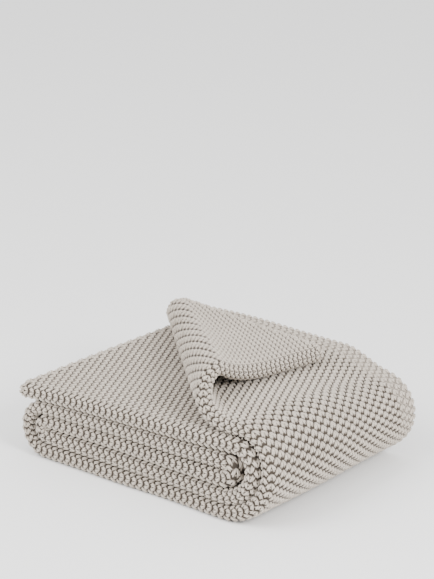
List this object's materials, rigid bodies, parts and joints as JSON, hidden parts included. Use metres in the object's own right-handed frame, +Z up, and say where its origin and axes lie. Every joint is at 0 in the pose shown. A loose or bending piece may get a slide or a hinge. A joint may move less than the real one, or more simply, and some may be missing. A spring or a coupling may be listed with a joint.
{
  "type": "folded throw blanket",
  "caption": "Chunky moss-stitch cotton throw, folded into a flat stack with one corner turned back over the top.",
  "frame": {"origin": "bottom centre of the folded stack's bounding box, on the surface that it lies on", "axes": "+X along the leaves towards the end with the outermost fold, +Y from the folded front to the edge side, +Z up"},
  "size_m": [0.3018, 0.222, 0.1272],
  "materials": {
    "knit": "matte chunky moss-stitch cotton knit",
    "edge_chain": "matte cotton, linked edge chain"
  },
  "bodies": {
    "folded_stack": {"bottom_leaf": "knit", "second_leaf": "knit", "third_leaf": "knit", "fourth_leaf": "knit", "inner_end_leaf": "knit", "inner_end_hem": "edge_chain", "inner_left_fold": "knit", "outer_left_fold": "knit", "core_right_fold": "knit", "middle_right_fold": "knit", "outer_right_fold": "knit", "top_leaf": "knit", "crease_roll": "knit"},
    "turned_back_corner": {"turned_corner": "knit", "corner_hem": "edge_chain"}
  },
  "joints": [
    {"name": "corner_lift", "type": "hinge", "parent": "folded_stack", "child": "turned_back_corner", "pos_m": [-0.02052, -0.02528, 0.09671], "axis": [0.7233, -0.6876, 0.0631], "range_deg": [0, 60]}
  ]
}
